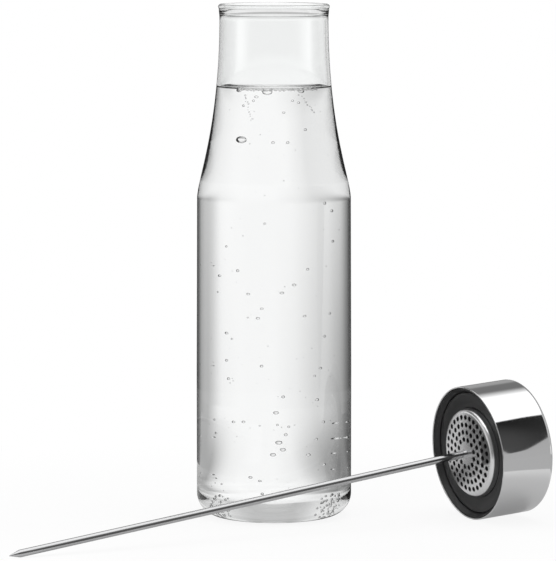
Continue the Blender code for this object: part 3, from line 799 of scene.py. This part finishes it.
def steel_material(name, finish, colour=STEEL):
    """Polished stainless steel with marks that run round the piece's own axis.

    Its finish is a roughness, the number of marks in a metre and their depth in metres.
    """
    roughness, marks_in_a_metre, mark_depth = finish
    material, tree, shader = surface_of(name)
    shader.inputs["Metallic"].default_value = 1.0
    own_place = tree.nodes.new("ShaderNodeAttribute")
    own_place.attribute_name = "own_place"
    place = own_place.outputs["Vector"]
    axes = axes_of(tree, place)
    flat = tree.nodes.new("ShaderNodeCombineXYZ")
    tree.links.new(axes["X"], flat.inputs["X"])
    tree.links.new(axes["Y"], flat.inputs["Y"])
    radius = tree.nodes.new("ShaderNodeVectorMath")
    radius.operation = "LENGTH"
    tree.links.new(flat.outputs[0], radius.inputs[0])
    slip = maths(tree, "MULTIPLY", maths(tree, "ARCTAN2", axes["X"], axes["Y"]), MARK_SLIP)
    across = tree.nodes.new("ShaderNodeCombineXYZ")
    for socket, value in zip(across.inputs, (radius.outputs["Value"], axes["Z"], slip)):
        tree.links.new(value, socket)
    marks = noise_on(tree, across.outputs[0], marks_in_a_metre, 4)
    smears = noise_on(tree, place, SMEAR_SCALE)
    wear = maths(
        tree,
        "ADD",
        maths(tree, "MULTIPLY", marks, STEEL_WEAR),
        maths(tree, "MULTIPLY", smears, STEEL_WEAR),
    )
    rough = maths(tree, "ADD", wear, roughness - STEEL_WEAR)
    tree.links.new(rough, shader.inputs["Roughness"])
    darker = [part - STEEL_SPREAD for part in colour]
    lighter = [part + STEEL_SPREAD for part in colour]
    tree.links.new(shades_between(tree, marks, darker, lighter), shader.inputs["Base Color"])
    raise_marks(tree, shader, marks, mark_depth)
    return material


def draw_the_shell():
    edge = LID_RADIUS - LID_EDGE_RADIUS
    edge_height = LID_HEIGHT - LID_EDGE_RADIUS
    bore = LID_RADIUS - SHELL_WALL
    rim = SHELL_RIM_RADIUS
    hole_edge = POUR_HOLE_EDGE_RADIUS
    outline = [(POUR_HOLE_RADIUS + POUR_HOLE_GUARD, LID_HEIGHT)]
    outline += arc(edge, edge_height, LID_EDGE_RADIUS, 90, 0, 14)
    outline += [(LID_RADIUS, edge_height - SHELL_GUARD), (LID_RADIUS, SHELL_MIDDLE)]
    outline += [(LID_RADIUS, rim + SHELL_GUARD)]
    outline += arc(LID_RADIUS - rim, rim, rim, 0, -90, 5)
    outline += arc(bore + rim, rim, rim, -90, -180, 5)
    outline += arc(edge, edge_height, LID_EDGE_RADIUS - SHELL_WALL, 0, 90, 14)
    hole = arc(POUR_HOLE_RADIUS + hole_edge, LID_HEIGHT - hole_edge, hole_edge, -90, -270, 8)
    outline += hole[:-1]
    shell = sweep_round("steel_shell", outline, TURNED_STEPS, True, place=LID)
    shell.data.materials.append(steel_material("mirror_steel_shell", SHELL_FINISH))
    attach(shell, "lid_housing")
    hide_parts("lid_shell")


draw_the_shell()


# The black core
# One moulding of black plastic pressed into the shell. It has the recess for the glass lip, a
# groove for the strainer's gasket and the tube that leads the water to the pour hole.
CORE_SIDE = ((0.0355, 0.0295), (0.0356, 0.0292), (0.0356, 0.0006))
CORE_RIM_ARC = (0.0353, 0.0007, 0.0003, 0, -180, 8)
CORE_BEVEL = ((0.0347, 0.0012), (0.0340, 0.0024))
CORE_LEAD_IN_ARC = (0.0330, 0.0031, 0.0004, 20, -60, 5)
CORE_RECESS = ((0.0334, 0.0067), (0.0247, 0.0067), (0.0247, 0.0082))
CORE_GROOVE = ((0.0268, 0.0082), (0.0268, 0.0106), (0.0247, 0.0106), (0.0247, 0.0123))
CORE_TUBE = ((0.0233, 0.0123), (0.0233, 0.0241), (0.0253, 0.0241), (0.0253, 0.0138))
CORE_BACK = ((0.0283, 0.0138), (0.0283, 0.0082), (0.0341, 0.0082), (0.0341, 0.0295))
BLACK = 0.030
MOULDED_FINISH = (0.42, 2600, 0.000006)
BLACK_SPREAD = 0.2
BLACK_BLUE = 0.02
BLACK_CLOUDS = 70
BLACK_ROUGH_SPREAD = 0.12


def black_material(name, tone, finish):
    """Moulded black plastic or silicone: a fine grain, and a tone that drifts slowly."""
    roughness, grains_in_a_metre, grain_depth = finish
    material, tree, shader = surface_of(name)
    place = tree.nodes.new("ShaderNodeTexCoord").outputs["Object"]
    grain = noise_on(tree, place, grains_in_a_metre, 4)
    darker, lighter = tone * (1 - BLACK_SPREAD), tone * (1 + BLACK_SPREAD)
    blue = tone * BLACK_BLUE
    shade = shades_between(
        tree,
        noise_on(tree, place, BLACK_CLOUDS),
        (darker, darker, darker + blue),
        (lighter, lighter, lighter + blue),
    )
    tree.links.new(shade, shader.inputs["Base Color"])
    spread = maths(tree, "MULTIPLY", grain, BLACK_ROUGH_SPREAD)
    rough = maths(tree, "ADD", spread, roughness - BLACK_ROUGH_SPREAD / 2)
    tree.links.new(rough, shader.inputs["Roughness"])
    raise_marks(tree, shader, grain, grain_depth)
    return material


def mould_the_core():
    outline = list(CORE_SIDE) + arc(*CORE_RIM_ARC)
    outline += list(CORE_BEVEL) + arc(*CORE_LEAD_IN_ARC)
    outline += CORE_RECESS + CORE_GROOVE + CORE_TUBE + CORE_BACK
    core = sweep_round("black_core", outline, TURNED_STEPS, True, place=LID)
    core.data.materials.append(black_material("moulded_black_core", BLACK, MOULDED_FINISH))
    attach(core, "lid_housing")
    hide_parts("lid_collar")


mould_the_core()


# The lip seal
# A ring of black silicone laid in the floor of the recess. The glass lip presses into its shallow
# dished face and seals there.
SEAL_OUTSIDE = (0.0331, 0.0064)
SEAL_EDGE_ARC = (0.0328, 0.0037, 0.0003, 0, -90, 4)
SEAL_INSIDE = ((0.0248, 0.0050), (0.0247, 0.0051), (0.0247, 0.0064))
SEAL_FACE_START = 0.0326
SEAL_FACE_WIDTH = 0.0072
SEAL_FACE_HEIGHT = 0.0034
SEAL_DISH = 0.0016
SEAL_FACE_ROWS = 12
SEAL_BLACK = 0.034
SILICONE_FINISH = (0.5, 3200, 0.000005)


def lay_the_seal():
    outline = [SEAL_OUTSIDE] + arc(*SEAL_EDGE_ARC)
    for row in range(SEAL_FACE_ROWS + 1):
        share = row / SEAL_FACE_ROWS
        dish = SEAL_DISH * math.sin(math.pi * share / 2) ** 2
        outline.append((SEAL_FACE_START - SEAL_FACE_WIDTH * share, SEAL_FACE_HEIGHT + dish))
    outline += SEAL_INSIDE
    seal = sweep_round("lip_seal_ring", outline, TURNED_STEPS, True, place=LID)
    seal.data.materials.append(black_material("black_silicone_seal", SEAL_BLACK, SILICONE_FINISH))
    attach(seal, "lid_housing")
    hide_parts("lip_seal")


lay_the_seal()


# The strainer
# A pressed cup of stainless steel, punched with eighty-four holes in four rings, that pushes into
# the black core. Its rounded edge stands proud of the seal. The walls of its holes carry painted
# shade, a black finish on the steel.
STRAINER_RADIUS = 0.0244
STRAINER_WALL = 0.0008
STRAINER_FRONT = -0.0008
STRAINER_DOME_RADIUS = 0.215
STRAINER_DOME_ROWS = 12
STRAINER_TOP = 0.0120
STRAINER_EDGE_RADIUS = 0.0026
STRAINER_EDGE_SWEEP = 84
STRAINER_BORE = 0.0018
STRAINER_STEEL = (0.96, 0.96, 0.965)
STRAINER_FINISH = (0.27, 5000, 0.0000015)
HOLE_SHADE_FINISH = (0.5, 3200, 0.000002)
HOLE_RADIUS = 0.00138
HOLE_CORNERS = 24
HOLE_RINGS = ((0.0078, 12), (0.01178, 18), (0.0158, 24), (0.01985, 30))
FIRST_RING_SHIFT = 0.55
SHIFT_PER_RING = 0.2
HOLE_SHADE_REACH = 0.0015
HOLE_SHADE_SLOPE = 0.5
PUNCH_LENGTH = 0.004
PUNCH_MIDDLE = -0.0001


def hole_punches():
    """Eighty-four round punches, each longer than the wall is thick."""
    shape = bmesh.new()
    for ring, (radius, holes) in enumerate(HOLE_RINGS):
        for index in range(holes):
            angle = math.tau * (index + FIRST_RING_SHIFT - SHIFT_PER_RING * ring) / holes
            middle = (radius * math.cos(angle), radius * math.sin(angle), PUNCH_MIDDLE)
            bmesh.ops.create_cone(
                shape,
                cap_ends=True,
                segments=HOLE_CORNERS,
                radius1=HOLE_RADIUS,
                radius2=HOLE_RADIUS,
                depth=PUNCH_LENGTH,
                matrix=Matrix.Translation(middle),
            )
    mesh = bpy.data.meshes.new("hole_punches")
    shape.to_mesh(mesh)
    shape.free()
    mesh.transform(LID)
    return bpy.data.objects.new("hole_punches", mesh)


def punch_the_holes(cup):
    punches = hole_punches()
    bpy.context.scene.collection.objects.link(punches)
    cut = cup.modifiers.new("Holes", "BOOLEAN")
    cut.operation = "DIFFERENCE"
    cut.object = punches
    bpy.context.view_layer.update()
    graph = bpy.context.evaluated_depsgraph_get()
    mesh = bpy.data.meshes.new_from_object(cup.evaluated_get(graph))
    cup.modifiers.clear()
    cup.data = mesh
    bpy.data.objects.remove(punches)
    mesh.shade_smooth()
    mesh.set_sharp_from_angle(angle=SHARPEST_SMOOTH)
    mesh.materials.clear()


# Painted shade: the steel walls of the punched holes take the cup's second, black material.
def paint_shade_on_the_hole_walls(mesh):
    outward = (LID.to_3x3() @ Vector((0, 0, 1))).normalized()
    for face in mesh.polygons:
        own = LID.inverted() @ face.center
        radius = math.hypot(own.x, own.y)
        in_a_hole = any(abs(radius - ring) < HOLE_RADIUS for ring, holes in HOLE_RINGS)
        is_a_wall = abs(face.normal.dot(outward)) < HOLE_SHADE_SLOPE
        if in_a_hole and is_a_wall and own.z < HOLE_SHADE_REACH:
            face.material_index = 1


def press_the_strainer():
    edge = STRAINER_RADIUS - STRAINER_EDGE_RADIUS
    rise = edge**2 / (2 * STRAINER_DOME_RADIUS)
    edge_height = STRAINER_FRONT + rise + STRAINER_EDGE_RADIUS
    inner_edge = STRAINER_EDGE_RADIUS - STRAINER_WALL
    dome = []
    for row in range(STRAINER_DOME_ROWS - 1, 1, -1):
        share = row / STRAINER_DOME_ROWS
        dome.append((edge * share, STRAINER_FRONT + rise * share**2))
    outline = [(STRAINER_RADIUS, STRAINER_TOP)]
    outline += arc(edge, edge_height, STRAINER_EDGE_RADIUS, 0, -STRAINER_EDGE_SWEEP, 12) + dome
    outline += [(STRAINER_BORE, STRAINER_FRONT), (STRAINER_BORE, STRAINER_FRONT + STRAINER_WALL)]
    outline += [(radius, height + STRAINER_WALL) for radius, height in dome[::-1]]
    outline += arc(edge, edge_height, inner_edge, -STRAINER_EDGE_SWEEP, 0, 12)
    outline.append((STRAINER_RADIUS - STRAINER_WALL, STRAINER_TOP))
    cup = sweep_round("steel_strainer", outline, TURNED_STEPS, True, place=LID)
    punch_the_holes(cup)
    cup.data.materials.append(
        steel_material("pressed_steel_strainer", STRAINER_FINISH, STRAINER_STEEL)
    )
    # The second material is painted shade on the hole walls, not a part of black plastic.
    cup.data.materials.append(black_material("painted_shade_hole_walls", BLACK, HOLE_SHADE_FINISH))
    paint_shade_on_the_hole_walls(cup.data)
    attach(cup, "skewer_set")
    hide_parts("strainer_cup")


press_the_strainer()


# The skewer
# A stainless rod four millimetres thick and as long as the carafe is deep, ground to a point. Its
# thin threaded end goes through the strainer and takes a nut. The thread has play there, so the
# lid sags and its own axis is a few degrees off the skewer's.
SKEWER_TILT = math.radians(7.436)
SKEWER_TURN = math.radians(26.8)
SKEWER_RADIUS = 0.0020
SKEWER_LENGTH = 0.27358
SKEWER_POINT_LENGTH = 0.0060
SKEWER_TIP_RADIUS = 0.00015
SKEWER_ROW_LENGTH = 0.02
SKEWER_ROWS = 13
SKEWER_STEPS = 48
SKEWER_STEEL = (0.58, 0.58, 0.585)
SKEWER_FINISH = (0.11, 3000, 0.000001)
THREAD = ((0, 0.0050), (0.0013, 0.0050), (0.0015, 0.0048), (0.0015, -0.0008))
THREAD_SHOULDER = ((0.0019, -0.0008), (SKEWER_RADIUS, -0.0009))


def grind_the_skewer():
    outline = list(THREAD + THREAD_SHOULDER)
    outline += [(SKEWER_RADIUS, -SKEWER_ROW_LENGTH * row) for row in range(1, SKEWER_ROWS + 1)]
    outline += [(SKEWER_RADIUS, SKEWER_POINT_LENGTH - SKEWER_LENGTH)]
    outline += [(SKEWER_TIP_RADIUS, -SKEWER_LENGTH), (0, -SKEWER_LENGTH)]
    place = laid_down(SKEWER_TILT, SKEWER_TURN)
    rod = sweep_round("steel_skewer", outline, SKEWER_STEPS, False, place=place)
    rod.data.materials.append(steel_material("ground_steel_skewer", SKEWER_FINISH, SKEWER_STEEL))
    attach(rod, "skewer_set")
    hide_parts("skewer")


grind_the_skewer()


# The hidden fixings
# The nut, the gasket, the flap's seat and its pin lie inside the lid. They keep their own solids
# and take the finish of the steel, the silicone or the plastic that they are made of.
FIXINGS_FINISH = (0.20, 3000, 0.000001)
GASKET_BLACK = 0.05


def refinish(node, material):
    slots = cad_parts[node].data.materials
    slots.clear()
    slots.append(material)


steel_of_fixings = steel_material("plain_steel_fixings", FIXINGS_FINISH)
refinish("skewer_nut", steel_of_fixings)
refinish("flap_pin", steel_of_fixings)
refinish(
    "strainer_gasket", black_material("black_silicone_gasket", GASKET_BLACK, SILICONE_FINISH)
)
refinish("flap_seat", black_material("moulded_black_seat", BLACK, MOULDED_FINISH))


# The pour flap
# A steel disc, a millimetre thick, that lies in the pour hole on two ears and a pin. It tips open
# by its own weight when the carafe is tilted to pour.
FLAP_FINISH = (0.16, 4000, 0.0000015)

refinish("pour_flap", steel_material("brushed_steel_flap", FLAP_FINISH))
